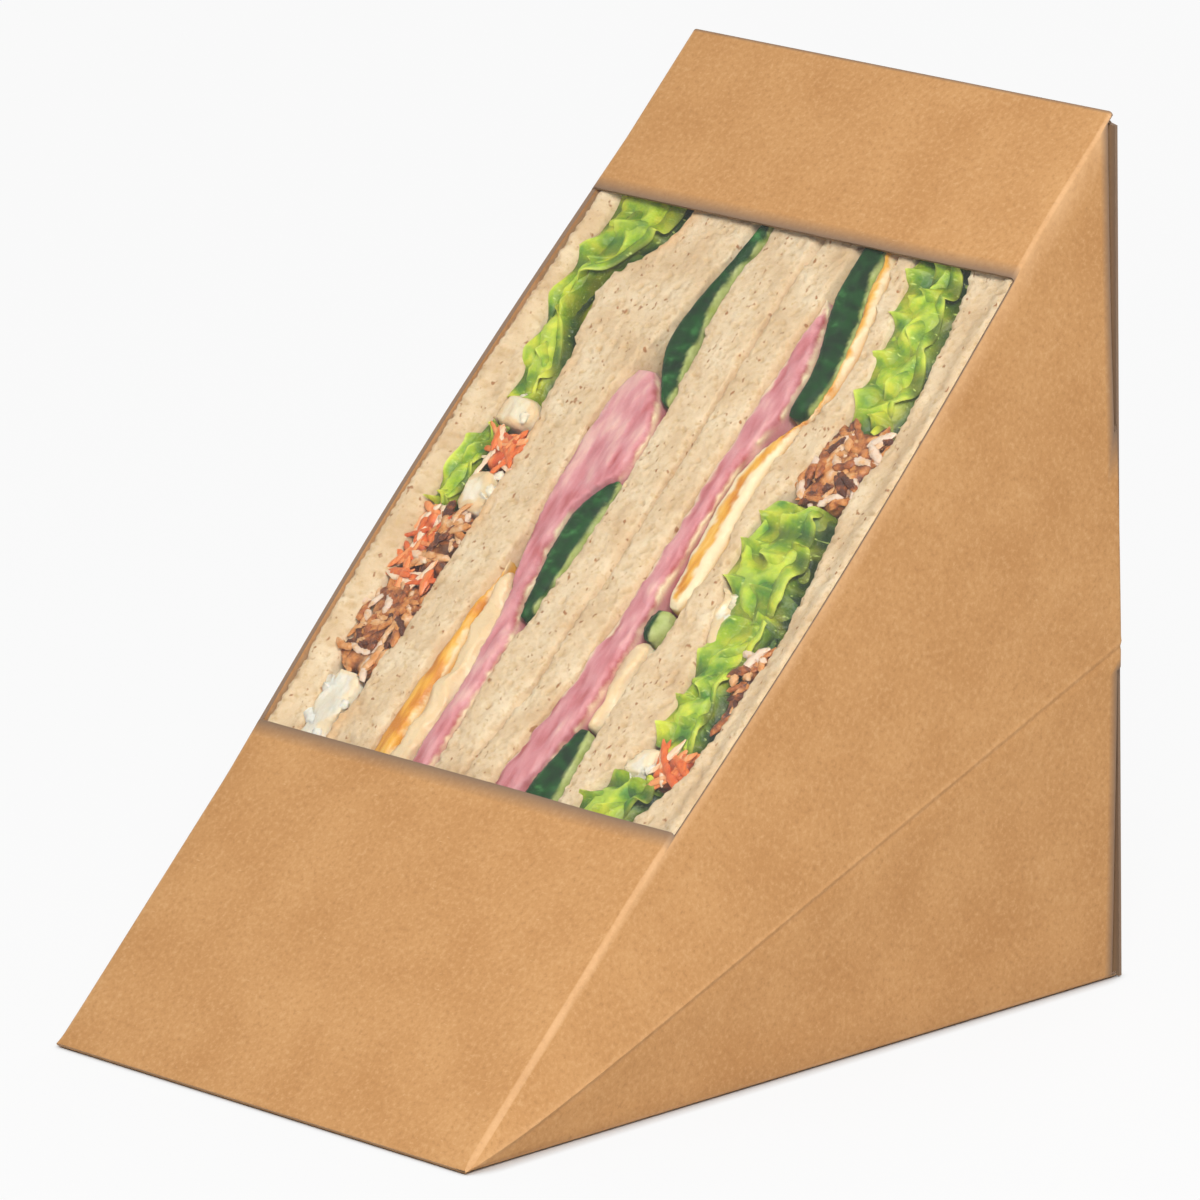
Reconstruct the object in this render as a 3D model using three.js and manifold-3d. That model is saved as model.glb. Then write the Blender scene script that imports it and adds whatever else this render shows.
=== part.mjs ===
// A triangular sandwich pack: a folded kraft board carton with a film window in its sloping
// front, a rear lid with a tuck flap, and two stacked sandwich halves standing inside.
// Millimetres, +X across the pack, +Y towards the rear lid, +Z up.
import * as THREE from "three";
import { mergeVertices } from "three/addons/utils/BufferGeometryUtils.js";
import Module from "manifold-3d";

const wasm = await Module();
wasm.setup();

// Pack
const packHeight = 123;
const packDepth = 124.6;
const board = 0.5;
const filmThickness = 0.25;
const fit = 0.3;

// Window, measured up the sloping front
const windowStart = 54.9;
const windowEnd = 146.5;
const filmOverlap = 6;
const filmLeg = 9;

// Side panels
const sideBow = 1.7;
const bowRun = 9;
const creaseRise = 48.7;
const creaseLift = 1.6;
const creaseRun = 16;
const edgeRecess = 1.1;

// Flaps
const dustFlapLow = 45;
const dustFlapHigh = 79;
const dustFlapReach = 19;
const dustFlapTaper = 5;
const glueFlapWidth = 12;
const glueFlapInset = 14;
const tuckLength = 14;
const tuckTaper = 5;

// Slices and fillings across the pack, from left to right
const leftOuterSlice = 5.2;
const leftSalad = 6.5;
const leftMiddleSlice = 10.1;
const leftHamLayer = 10.5;
const leftInnerSlice = 9;
const rightInnerSlice = 6.7;
const rightHamLayer = 9.5;
const rightMiddleSlice = 7.5;
const rightSalad = 10;
const rightOuterSlice = 5;
const cutFaceSetback = 0.8;
const crustRound = 9;
const frontTipRound = 5;
const crustMargin = 5;
const cucumberRadius = 21;

// Worked out from the sizes above
const sideBuild = board + fit + filmThickness + fit;
const leftHalf = leftOuterSlice + leftSalad + leftMiddleSlice + leftHamLayer + leftInnerSlice;
const rightHalf = rightInnerSlice + rightHamLayer + rightMiddleSlice + rightSalad + rightOuterSlice;
const packWidth = leftHalf + rightHalf + 2 * sideBuild;
const cartonDepth = packDepth - board - fit;
const slopeAngle = Math.atan2(packHeight, cartonDepth);
const slopeLength = Math.hypot(packHeight, cartonDepth);
const creaseAngle = Math.atan2(creaseRise, cartonDepth);
const beyond = 10;

const colours = {
  kraft: 0xce9e6c,
  film: 0xf4f6f5,
  bread: 0xebd7ac,
  lettuce: 0x9cc23f,
  ham: 0xe6aab0,
  cheese: 0xe4a83c,
  cucumber: 0x1f4a22,
  carrot: 0xe66e3c,
  chicken: 0xb07a45,
  mayonnaise: 0xf3ecd8,
  egg: 0xf6f1e6,
};

const pack = new THREE.Group();
pack.position.set(0, -packDepth / 2, 0);

// A closed three.js geometry as a solid that can be joined and cut
function solidOf(geometry) {
  const bare = geometry.clone();
  bare.deleteAttribute("normal");
  bare.deleteAttribute("uv");
  const merged = mergeVertices(bare, 1e-4);
  return new wasm.Manifold(
    new wasm.Mesh({
      numProp: 3,
      vertProperties: new Float32Array(merged.attributes.position.array),
      triVerts: new Uint32Array(merged.index.array),
    }),
  );
}

function addPiece(name, solid, look) {
  const { vertProperties, triVerts } = solid.getMesh();
  const geometry = new THREE.BufferGeometry();
  geometry.setAttribute("position", new THREE.BufferAttribute(vertProperties, 3));
  geometry.setIndex(new THREE.BufferAttribute(triVerts, 1));
  geometry.computeVertexNormals();
  const mesh = new THREE.Mesh(geometry, new THREE.MeshStandardMaterial(look));
  mesh.name = name;
  pack.add(mesh);
}

// Matrices that stand a flat outline up: its own x and y axes, then the way it is extruded
const acrossPack = new THREE.Matrix4().makeBasis(
  new THREE.Vector3(0, 1, 0),
  new THREE.Vector3(0, 0, 1),
  new THREE.Vector3(1, 0, 0),
);
const outOfSlope = new THREE.Matrix4().makeBasis(
  new THREE.Vector3(1, 0, 0),
  new THREE.Vector3(0, Math.cos(slopeAngle), Math.sin(slopeAngle)),
  new THREE.Vector3(0, -Math.sin(slopeAngle), Math.cos(slopeAngle)),
);
const towardsFront = new THREE.Matrix4().makeBasis(
  new THREE.Vector3(1, 0, 0),
  new THREE.Vector3(0, 0, 1),
  new THREE.Vector3(0, -1, 0),
);

function prism(shape, from, to, matrix) {
  const options = { depth: to - from, bevelEnabled: false, curveSegments: 8 };
  const geometry = new THREE.ExtrudeGeometry(shape, options);
  geometry.translate(0, 0, from);
  geometry.applyMatrix4(matrix);
  return solidOf(geometry);
}

function polygon(points) {
  return new THREE.Shape(points.map(([x, y]) => new THREE.Vector2(x, y)));
}

function block(low, high) {
  const geometry = new THREE.BoxGeometry(high[0] - low[0], high[1] - low[1], high[2] - low[2]);
  geometry.translate((low[0] + high[0]) / 2, (low[1] + high[1]) / 2, (low[2] + high[2]) / 2);
  return solidOf(geometry);
}

// The side panels: flat at their folds, ridged along the crease and bowed beside the window

function foldBow(distance) {
  const start = windowStart - bowRun;
  const span = windowEnd + bowRun - start;
  const t = THREE.MathUtils.clamp((distance - start) / span, 0, 1);
  return sideBow * Math.sin(Math.PI * t);
}

function ridge(distance) {
  const fade = 1 - (0.5 * distance) / slopeLength;
  return creaseLift * (1 - Math.exp(-distance / creaseRun)) * fade;
}

function sideBulge(distance, angle) {
  if (angle <= creaseAngle) return (ridge(distance) * angle) / creaseAngle;
  const t = (angle - creaseAngle) / (slopeAngle - creaseAngle);
  return THREE.MathUtils.lerp(ridge(distance), foldBow(distance), t);
}

// Closed body between the two side panels, pulled in by inset on both sides. Its sides are
// fans of facets round the front corner, one ray of them along the crease.
function sidesVolume(inset, reach) {
  const angles = [0, 0.5 * creaseAngle, creaseAngle];
  const upperRays = 4;
  for (let ray = 1; ray <= upperRays; ray += 1) {
    angles.push(creaseAngle + ((slopeAngle - creaseAngle) * ray) / upperRays);
  }
  const stations = [0.07, 0.14, 0.24, 0.34, 0.44, 0.54, 0.64, 0.74, 0.84, 0.92, 1];
  if (reach > 1) stations.push(reach);
  const points = [];
  const faces = [];
  const vertexAt = (side, ray, station) => {
    if (station < 0) return side;
    return 2 + side * angles.length * stations.length + ray * stations.length + station;
  };
  for (const sign of [-1, 1]) points.push(sign * (packWidth / 2 - inset), 0, 0);
  for (const sign of [-1, 1]) {
    for (const angle of angles) {
      for (const station of stations) {
        const y = station * cartonDepth;
        const distance = y / Math.cos(angle);
        const x = sign * (packWidth / 2 - inset + sideBulge(distance, angle));
        points.push(x, y, y * Math.tan(angle));
      }
    }
  }
  const quad = (a, b, c, d) => faces.push(a, b, c, a, c, d);
  const lastRay = angles.length - 1;
  const lastStation = stations.length - 1;
  for (let ray = 0; ray < lastRay; ray += 1) {
    faces.push(vertexAt(1, ray, -1), vertexAt(1, ray, 0), vertexAt(1, ray + 1, 0));
    faces.push(vertexAt(0, ray, -1), vertexAt(0, ray + 1, 0), vertexAt(0, ray, 0));
    for (let k = 0; k < lastStation; k += 1) {
      const [next, above] = [k + 1, ray + 1];
      quad(vertexAt(1, ray, k), vertexAt(1, ray, next), vertexAt(1, above, next), vertexAt(1, above, k));
      quad(vertexAt(0, ray, k), vertexAt(0, above, k), vertexAt(0, above, next), vertexAt(0, ray, next));
    }
    quad(
      vertexAt(1, ray, lastStation),
      vertexAt(0, ray, lastStation),
      vertexAt(0, ray + 1, lastStation),
      vertexAt(1, ray + 1, lastStation),
    );
  }
  for (let k = -1; k < lastStation; k += 1) {
    quad(vertexAt(0, 0, k), vertexAt(0, 0, k + 1), vertexAt(1, 0, k + 1), vertexAt(1, 0, k));
    quad(
      vertexAt(1, lastRay, k),
      vertexAt(1, lastRay, k + 1),
      vertexAt(0, lastRay, k + 1),
      vertexAt(0, lastRay, k),
    );
  }
  const geometry = new THREE.BufferGeometry();
  geometry.setAttribute("position", new THREE.Float32BufferAttribute(points, 3));
  geometry.setIndex(faces);
  return solidOf(geometry);
}

// Triangle of the pack's section, with its walls moved in by the given distances and its
// corners rounded: front corner, rear bottom corner, top corner
function section(slopeInset, floorInset, rear, rounds = [0, 0, 0]) {
  const front = (slopeInset / Math.cos(slopeAngle) + floorInset) / Math.tan(slopeAngle);
  const top = rear * Math.tan(slopeAngle) - slopeInset / Math.cos(slopeAngle);
  const corners = [
    [front, floorInset],
    [rear, floorInset],
    [rear, top],
  ].map(([y, z]) => new THREE.Vector2(y, z));
  const shape = new THREE.Shape();
  corners.forEach((corner, k) => {
    const before = corners[(k + 2) % 3].clone().sub(corner).normalize();
    const after = corners[(k + 1) % 3].clone().sub(corner).normalize();
    const halfAngle = Math.acos(before.dot(after)) / 2;
    const cut = rounds[k] / Math.tan(halfAngle);
    const arcSteps = rounds[k] > 0 ? 8 : 0;
    const bisector = before.clone().add(after).normalize();
    const centre = corner.clone().addScaledVector(bisector, rounds[k] / Math.sin(halfAngle));
    const start = corner.clone().addScaledVector(before, cut);
    const from = start.clone().sub(centre).angle();
    for (let step = 0; step <= arcSteps; step += 1) {
      const turn = from + ((Math.PI - 2 * halfAngle) * step) / Math.max(arcSteps, 1);
      const point = new THREE.Vector2(Math.cos(turn), Math.sin(turn)).multiplyScalar(rounds[k]);
      point.add(centre);
      if (k === 0 && step === 0) shape.moveTo(point.x, point.y);
      else shape.lineTo(point.x, point.y);
    }
  });
  shape.closePath();
  return shape;
}

function sectionVolume(sideInset, shape, reach = 1) {
  const wide = packWidth / 2 + sideBow + beyond;
  return sidesVolume(sideInset, reach).intersect(prism(shape, -wide, wide, acrossPack));
}

// Carton: one folded and glued sheet

function dustFlap(sign) {
  const inner = packWidth / 2 - dustFlapReach;
  const outer = packWidth / 2 + sideBow + beyond;
  const outline = [
    [outer, dustFlapLow],
    [outer, dustFlapHigh],
    [packWidth / 2 - dustFlapTaper, dustFlapHigh],
    [inner, dustFlapHigh - dustFlapTaper],
    [inner, dustFlapLow + dustFlapTaper],
    [packWidth / 2 - dustFlapTaper, dustFlapLow],
  ].map(([x, z]) => [sign * x, z]);
  return prism(polygon(outline), -cartonDepth, board - cartonDepth, towardsFront);
}

function glueFlap(sign) {
  const outer = packWidth / 2;
  const near = [sign * outer, sign * (outer - board - glueFlapWidth)].sort((a, b) => a - b);
  return block(
    [near[0], glueFlapInset, board / 2],
    [near[1], cartonDepth - edgeRecess, 2 * board],
  );
}

function sideEdgeCut(sign, low, high) {
  const reach = [sign * (packWidth / 2 - board), sign * (packWidth / 2 + sideBow + beyond)];
  reach.sort((a, b) => a - b);
  return block(
    [reach[0], cartonDepth - edgeRecess, low],
    [reach[1], cartonDepth + beyond, high],
  );
}

function cartonSolid() {
  const outer = sidesVolume(0, 1);
  const openRear = 1 + beyond / cartonDepth;
  const hollow = sectionVolume(board, section(board, board, cartonDepth + beyond / 2), openRear);
  const wide = packWidth / 2 + sideBow + beyond;
  const windowCut = prism(
    polygon([
      [-wide, windowStart],
      [wide, windowStart],
      [wide, windowEnd],
      [-wide, windowEnd],
    ]),
    -board - fit / 2,
    beyond,
    outOfSlope,
  );
  let carton = outer.subtract(hollow);
  for (const sign of [-1, 1]) {
    carton = carton
      .subtract(sideEdgeCut(sign, board, dustFlapLow))
      .subtract(sideEdgeCut(sign, dustFlapHigh, packHeight - edgeRecess - board))
      .add(dustFlap(sign).intersect(outer))
      .add(glueFlap(sign).intersect(outer));
  }
  return carton.subtract(windowCut);
}

// Film window, glued behind the front panel and turned back inside both side panels

function filmSolid() {
  const outerSection = section(board + fit, board + fit, cartonDepth - fit);
  const innerSection = section(sideBuild - fit, 0, cartonDepth + beyond / 2);
  const openRear = 1 + beyond / cartonDepth;
  const sheet = sectionVolume(board + fit, outerSection, openRear).subtract(
    sectionVolume(sideBuild - fit, innerSection, openRear),
  );
  const wide = packWidth / 2 + sideBow + beyond;
  const patch = prism(
    polygon([
      [-wide, windowStart - filmOverlap],
      [wide, windowStart - filmOverlap],
      [wide, windowEnd + filmOverlap],
      [-wide, windowEnd + filmOverlap],
    ]),
    -filmLeg,
    beyond,
    outOfSlope,
  );
  return sheet.intersect(patch);
}

// Rear lid: a panel hinged at the floor, with a tuck flap that slips behind the front panel

const tuckInset = board + fit;
const lidTop = packDepth * Math.tan(slopeAngle) - tuckInset / Math.cos(slopeAngle);

// Place in the pack's section of a point given by its way up the slope and its depth under it
function underSlope(distance, depth) {
  return {
    y: distance * Math.cos(slopeAngle) + depth * Math.sin(slopeAngle),
    z: distance * Math.sin(slopeAngle) - depth * Math.cos(slopeAngle),
  };
}

const tuckFold = (packDepth - tuckInset * Math.sin(slopeAngle)) / Math.cos(slopeAngle);
const tuckTip = underSlope(tuckFold - tuckLength, tuckInset + board);

function lidSolid() {
  const panelTop = lidTop - board / Math.tan(slopeAngle);
  const panel = polygon([
    [-packWidth / 2, 0],
    [packWidth / 2, 0],
    [packWidth / 2, panelTop],
    [-packWidth / 2, panelTop],
  ]);
  const halfTuck = packWidth / 2 - board - 2 * fit;
  const tuck = polygon([
    [-halfTuck, tuckFold],
    [-halfTuck, tuckFold - tuckLength / 2],
    [tuckTaper - halfTuck, tuckFold - tuckLength],
    [halfTuck - tuckTaper, tuckFold - tuckLength],
    [halfTuck, tuckFold - tuckLength / 2],
    [halfTuck, tuckFold],
  ]);
  const behindLid = block(
    [-packWidth, packDepth, -beyond],
    [packWidth, packDepth + beyond, packHeight + beyond],
  );
  return prism(panel, -packDepth, board - packDepth, towardsFront)
    .add(prism(tuck, -tuckInset - board, -tuckInset, outOfSlope))
    .subtract(behindLid);
}

// Bread and fillings. Places up the cut face are in percent of the sloping front's length, and
// every border is a broken line with its corners on the same rungs, so borders shared by two
// pieces stay parallel.

const rungStep = 2;

// Smooth curve through [percent, value] knots, flat beyond both ends
function curveThrough(knots) {
  const slopeAt = (k) => {
    if (k === 0 || k === knots.length - 1) return 0;
    return (knots[k + 1][1] - knots[k - 1][1]) / (knots[k + 1][0] - knots[k - 1][0]);
  };
  const smooth = (percent) => {
    if (percent <= knots[0][0]) return knots[0][1];
    if (percent >= knots.at(-1)[0]) return knots.at(-1)[1];
    const k = knots.findIndex((knot, n) => percent < knots[n + 1][0]);
    const [p0, v0] = knots[k];
    const [p1, v1] = knots[k + 1];
    const t = (percent - p0) / (p1 - p0);
    const rise = (p1 - p0) * t * (1 - t);
    const eased = t * t * (3 - 2 * t);
    return v0 + (v1 - v0) * eased + rise * ((1 - t) * slopeAt(k) - t * slopeAt(k + 1));
  };
  return (percent) => {
    const rung = Math.floor(percent / rungStep) * rungStep;
    const t = (percent - rung) / rungStep;
    return THREE.MathUtils.lerp(smooth(rung), smooth(rung + rungStep), t);
  };
}

// Waves of the slices' faces along the cut, in millimetres to the right of a straight layer
const faceWaves = [
  [[10, -0.5], [32, -0.6], [40, -2.2], [48, -2.2], [58, -3.3], [66, -0.3], [72, -3.2], [84, -2.6], [94, -1]],
  [[10, -1], [32, -2.3], [38, -0.8], [56, 0], [68, -1], [76, -3.3], [78, -1.5], [82, 4.3], [94, 4.5]],
  [[10, -2.5], [32, -2.4], [40, -1.9], [54, 0.9], [62, 0.2], [68, 0.9], [76, 4.9], [86, 8.2], [94, 7]],
  [[10, -0.6], [32, -0.6], [44, -0.4], [52, 1.2], [66, 1.4], [78, -0.9], [84, 0.3], [94, 0.3]],
  [[10, -4], [32, -3.5], [42, -0.8], [58, 0.2], [74, 0.8], [94, 1.5]],
  [[10, -4.8], [32, -4.3], [38, -2.7], [44, -1], [58, 0.1], [76, 1.2], [84, 2.4], [94, 2.4]],
  [[10, -1.4], [32, -0.9], [40, -1.6], [54, 0.6], [64, 0.2], [74, 3.6], [84, 0], [94, -0.5]],
  [[10, -4.5], [32, -4.2], [40, 2.1], [46, 1], [58, -3.8], [66, 0.4], [74, 0.7], [86, -4], [94, -3]],
  [[10, -4], [32, -4.2], [36, -0.3], [50, 1.9], [64, -0.9], [68, 0.7], [78, -0.9], [86, -4], [94, -3]],
];

const layers = [
  leftOuterSlice,
  leftSalad,
  leftMiddleSlice,
  leftHamLayer,
  leftInnerSlice,
  rightInnerSlice,
  rightHamLayer,
  rightMiddleSlice,
  rightSalad,
];
const layerFaces = [];
let layerEdge = sideBuild - packWidth / 2;
layers.forEach((thickness, k) => {
  layerEdge += thickness;
  const straight = layerEdge;
  const wave = curveThrough(faceWaves[k]);
  layerFaces.push((percent) => straight + wave(percent));
});
const leftWall = () => -packWidth / 2 - sideBow - beyond;
const rightWall = () => packWidth / 2 + sideBow + beyond;

// Outline on the cut face between two borders, clear of both by half a fit. Its two ends are
// narrowed to endWidth of the full width.
function strip(from, to, left, right, endWidth = 1) {
  const low = (from / 100) * slopeLength + fit / 2;
  const high = (to / 100) * slopeLength - fit / 2;
  const endRun = Math.min(1.5, (high - low) / 3);
  const places = [low, low + endRun];
  for (let rung = Math.ceil(from / rungStep) * rungStep; rung < to; rung += rungStep) {
    const place = (rung / 100) * slopeLength;
    if (place > low + endRun + fit && place < high - endRun - fit) places.push(place);
  }
  places.push(high - endRun, high);
  const borders = places.map((place, k) => {
    const percent = (100 * place) / slopeLength;
    const share = k === 0 || k === places.length - 1 ? endWidth : 1;
    const middle = (left(percent) + right(percent)) / 2;
    const half = (share * (right(percent) - left(percent) - fit)) / 2;
    return { place, left: middle - half, right: middle + half };
  });
  return polygon([
    ...borders.map((border) => [border.right, border.place]),
    ...borders.reverse().map((border) => [border.left, border.place]),
  ]);
}

const breadRear = cartonDepth - board - fit;
const breadFloor = 2 * board + fit;
const cutFaceInset = sideBuild + cutFaceSetback;
const tuckSweep = Math.hypot(packDepth - tuckTip.y, tuckTip.z);
const sharpTip = breadRear * Math.tan(slopeAngle) - cutFaceInset / Math.cos(slopeAngle);
const tipCotangent = 1 / Math.tan((Math.PI / 2 - slopeAngle) / 2);
const topTipRound = Math.max((sharpTip - tuckSweep + board + fit) / (tipCotangent - 1), 1);
const breadRounds = [frontTipRound, crustRound, topTipRound];
const breadVolume = sectionVolume(
  sideBuild,
  section(cutFaceInset, breadFloor, breadRear, breadRounds),
);
const fillingVolume = sectionVolume(
  sideBuild,
  section(cutFaceInset, breadFloor + crustMargin, breadRear - crustMargin, breadRounds),
);

function cutFromSlope(outline, depth, volume) {
  return prism(outline, -depth, beyond, outOfSlope).intersect(volume);
}

const slices = [
  "bread_slice_left_outer",
  "bread_slice_left_middle",
  "bread_slice_left_inner",
  "bread_slice_right_inner",
  "bread_slice_right_middle",
  "bread_slice_right_outer",
];
const sliceFaces = [
  [leftWall, layerFaces[0]],
  [layerFaces[1], layerFaces[2]],
  [layerFaces[3], layerFaces[4]],
  [layerFaces[4], layerFaces[5]],
  [layerFaces[6], layerFaces[7]],
  [layerFaces[8], rightWall],
];

// Fillings. Each lies between two slices, and its borders are shares of the way from the left
// slice's face to the right one's. Ham, cheese and cucumber reach in to the crust.
const inwardReach = { lettuce: 34, chicken: 18, carrot: 21, egg: 14, mayonnaise: 12 };
const leftEnd = [[0, 0]];
const rightEnd = [[0, 1]];
const leftEggFace = [[0, 0.9]];
const leftCarrotFace = [[0, 0.2]];

const leftLettuceEdge = [[64, 0.85], [68, 1], [72, 0.6], [78, 0.56], [82, 1], [92, 1]];
const leftSplit = [[46, 0.5], [54, 0.42], [58, 0.5], [62, 0.5]];
const leftCheeseFace = [[14, 0.3], [40, 0.3], [46, 0.18], [52, 0.05]];
const leftHamFace = [[14, 0.6], [40, 0.6], [46, 0.5], [54, 0.04], [70, 0.04]];
const leftCucumberFace = [
  [44, 1], [46, 0.84], [54, 0.5], [58, 0.62], [60, 0.93],
  [66, 0.93], [70, 0.5], [74, 0.05], [82, 0], [90, 0.2],
];
const leftCucumberBack = [[68, 1], [74, 0.9], [80, 0.85], [86, 1]];
const rightHamFace = [
  [14, 0.45], [32, 0.47], [40, 0.7], [46, 0.6], [54, 0.45],
  [64, 0.45], [68, 0.55], [74, 0.42], [80, 0.08], [84, 0],
];
const rightCheeseFace = [[48, 0.74], [54, 0.53], [64, 0.53], [68, 0.88], [74, 0.84], [84, 0.66], [88, 0.65]];
const rightStackBack = [[0, 0.96]];
const rightSaladFace = [[46, 0], [48, 0.2], [52, 0.2], [54, 0]];
const rightSaladBack = [[40, 1], [42, 0.78], [48, 0.78], [50, 1]];
const rightCarrotFace = [[0, 0.42]];

const leftSaladPieces = [
  { name: "lettuce_left_lower", from: 14, to: 30 },
  { name: "egg_left", from: 30, to: 38, right: leftEggFace },
  { name: "chicken_left_lower", from: 38, to: 46.5 },
  { name: "carrot_left_lower", from: 46.5, to: 48, left: leftCarrotFace },
  { name: "carrot_left_middle", from: 48, to: 54, right: leftSplit },
  { name: "chicken_left_upper", from: 48, to: 54, left: leftSplit },
  { name: "lettuce_left_middle", from: 54, to: 62, right: leftSplit },
  { name: "mayonnaise_left_lower", from: 54, to: 58, left: leftSplit },
  { name: "carrot_left_upper", from: 58, to: 62, left: leftSplit },
  { name: "mayonnaise_left_upper", from: 62, to: 65 },
  { name: "lettuce_left_upper", from: 65, to: 92, right: leftLettuceEdge },
];
const leftHamPieces = [
  { name: "cheese_left", from: 14, to: 52, right: leftCheeseFace },
  { name: "mayonnaise_left_middle", from: 16, to: 50, left: leftCheeseFace, right: leftHamFace },
  { name: "ham_left", from: 14, to: 70, left: leftHamFace, right: leftCucumberFace },
  { name: "cucumber_left_lower", from: 46, to: 60, left: leftCucumberFace },
  { name: "cucumber_left_upper", from: 67, to: 90, left: leftCucumberFace, right: leftCucumberBack },
];
const rightHamPieces = [
  { name: "ham_right", from: 14, to: 80, right: rightHamFace },
  { name: "cucumber_right_lower", from: 26, to: 38.5, left: rightHamFace, right: rightStackBack },
  { name: "mayonnaise_right_middle", from: 38.5, to: 47, left: rightHamFace, right: rightStackBack },
  { name: "cucumber_right_middle", from: 47, to: 50, left: rightHamFace, right: rightStackBack },
  { name: "cheese_right", from: 50, to: 88, left: rightCheeseFace },
  { name: "cucumber_right_upper", from: 68.5, to: 90, left: rightHamFace, right: rightCheeseFace },
];
const rightSaladPieces = [
  { name: "lettuce_right_bottom", from: 16, to: 35.5 },
  { name: "egg_right", from: 35.5, to: 38.5, right: rightCarrotFace },
  { name: "carrot_right", from: 35.5, to: 38.5, left: rightCarrotFace },
  { name: "lettuce_right_lower", from: 38.5, to: 51, left: rightSaladFace, right: rightSaladBack },
  { name: "chicken_right_lower", from: 41, to: 49, left: rightSaladBack },
  { name: "mayonnaise_right", from: 47, to: 53, right: rightSaladFace },
  { name: "lettuce_right_middle", from: 51, to: 61.5, left: rightSaladFace },
  { name: "chicken_right_upper", from: 61.5, to: 69 },
  { name: "lettuce_right_upper", from: 69, to: 92 },
];

// Round slice cut by the sandwich's diagonal, so that its chord is the length that shows
function cucumberDisc(from, to) {
  const low = (from / 100) * slopeLength + fit / 2;
  const high = (to / 100) * slopeLength - fit / 2;
  const halfChord = (high - low) / 2;
  const radius = Math.max(cucumberRadius, halfChord);
  const depth = Math.sqrt(radius * radius - halfChord * halfChord) + cutFaceInset;
  const centre = underSlope((low + high) / 2, depth);
  const geometry = new THREE.CylinderGeometry(radius, radius, packWidth, 40);
  geometry.rotateZ(Math.PI / 2);
  geometry.translate(0, centre.y, centre.z);
  return solidOf(geometry);
}

const kindOf = (filling) => filling.name.split("_")[0];

function fillingSolid(filling, leftFace, rightFace) {
  const { from, to, left = leftEnd, right = rightEnd } = filling;
  const kind = kindOf(filling);
  const border = (shares) => {
    const share = curveThrough(shares);
    return (percent) => {
      const part = THREE.MathUtils.clamp(share(percent), 0, 1);
      return THREE.MathUtils.lerp(leftFace(percent), rightFace(percent), part);
    };
  };
  const outline = strip(from, to, border(left), border(right), 0.55);
  const solid = cutFromSlope(outline, inwardReach[kind] ?? packDepth, fillingVolume);
  return kind === "cucumber" ? solid.intersect(cucumberDisc(from, to)) : solid;
}

const boardLook = { color: colours.kraft, roughness: 0.85, metalness: 0 };
const filmLook = { color: colours.film, roughness: 0.1, metalness: 0, transparent: true, opacity: 0.25 };

addPiece("carton", cartonSolid(), boardLook);
addPiece("rear_lid", lidSolid(), boardLook);
addPiece("window_film", filmSolid(), filmLook);
slices.forEach((name, k) => {
  const [left, right] = sliceFaces[k];
  const outline = strip(-rungStep, 100 + rungStep, left, right);
  addPiece(name, cutFromSlope(outline, packDepth, breadVolume), {
    color: colours.bread,
    roughness: 0.95,
    metalness: 0,
  });
});
function addFillings(pieces, leftFace, rightFace) {
  for (const filling of pieces) {
    addPiece(filling.name, fillingSolid(filling, leftFace, rightFace), {
      color: colours[kindOf(filling)],
      roughness: 0.55,
      metalness: 0,
    });
  }
}

addFillings(leftSaladPieces, layerFaces[0], layerFaces[1]);
addFillings(leftHamPieces, layerFaces[2], layerFaces[3]);
addFillings(rightHamPieces, layerFaces[5], layerFaces[6]);
addFillings(rightSaladPieces, layerFaces[7], layerFaces[8]);

export default pack;
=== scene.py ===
"""The looks of a triangular sandwich pack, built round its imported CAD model."""
import itertools
import math

import bmesh
import bpy
import numpy as np
from mathutils import Matrix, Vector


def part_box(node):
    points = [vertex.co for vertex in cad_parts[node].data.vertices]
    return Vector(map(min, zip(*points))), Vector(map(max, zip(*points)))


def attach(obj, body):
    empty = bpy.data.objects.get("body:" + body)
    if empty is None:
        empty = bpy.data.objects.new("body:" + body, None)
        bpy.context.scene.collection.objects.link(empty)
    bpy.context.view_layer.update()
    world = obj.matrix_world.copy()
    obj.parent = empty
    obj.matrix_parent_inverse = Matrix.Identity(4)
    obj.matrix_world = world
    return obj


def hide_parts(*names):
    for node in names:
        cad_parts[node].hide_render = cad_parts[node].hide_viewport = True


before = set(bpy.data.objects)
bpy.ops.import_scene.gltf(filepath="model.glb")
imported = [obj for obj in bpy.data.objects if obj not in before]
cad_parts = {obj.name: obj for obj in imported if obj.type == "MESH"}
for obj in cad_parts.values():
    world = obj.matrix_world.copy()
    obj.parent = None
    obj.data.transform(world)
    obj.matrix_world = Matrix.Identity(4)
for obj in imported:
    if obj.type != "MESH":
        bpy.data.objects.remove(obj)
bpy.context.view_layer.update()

MM = 0.001

# Sizes, in millimetres, from the frame where it holds them
carton_low, carton_high = (np.array(corner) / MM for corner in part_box("carton"))
lid_high = np.array(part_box("rear_lid")[1]) / MM
FRONT = carton_low[1]
HEIGHT = carton_high[2]
DEPTH = carton_high[1] - FRONT
LID_FACE = lid_high[1] - FRONT
LID_TOP = lid_high[2]
HALF_WIDTH = lid_high[0]
SLOPE = math.atan2(HEIGHT, DEPTH)
SLOPE_LENGTH = math.hypot(HEIGHT, DEPTH)
SIN, COS, TAN = math.sin(SLOPE), math.cos(SLOPE), math.tan(SLOPE)
BOARD = 0.48
FIT = 0.3
WINDOW_START = 54.9
WINDOW_END = 146.5
SIDE_BOW = 1.7
BOW_RUN = 9
CREASE_RISE = 48.7
CREASE_LIFT = 2.3
CREASE_RUN = 10
EDGE_RECESS = 1.1
FOLD_RADIUS = 0.75
FLAP_LOW = 45
FLAP_HIGH = 79
FLAP_REACH = 19
FLAP_TAPER = 5
TUCK_LENGTH = 14
TUCK_TAPER = 5
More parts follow.
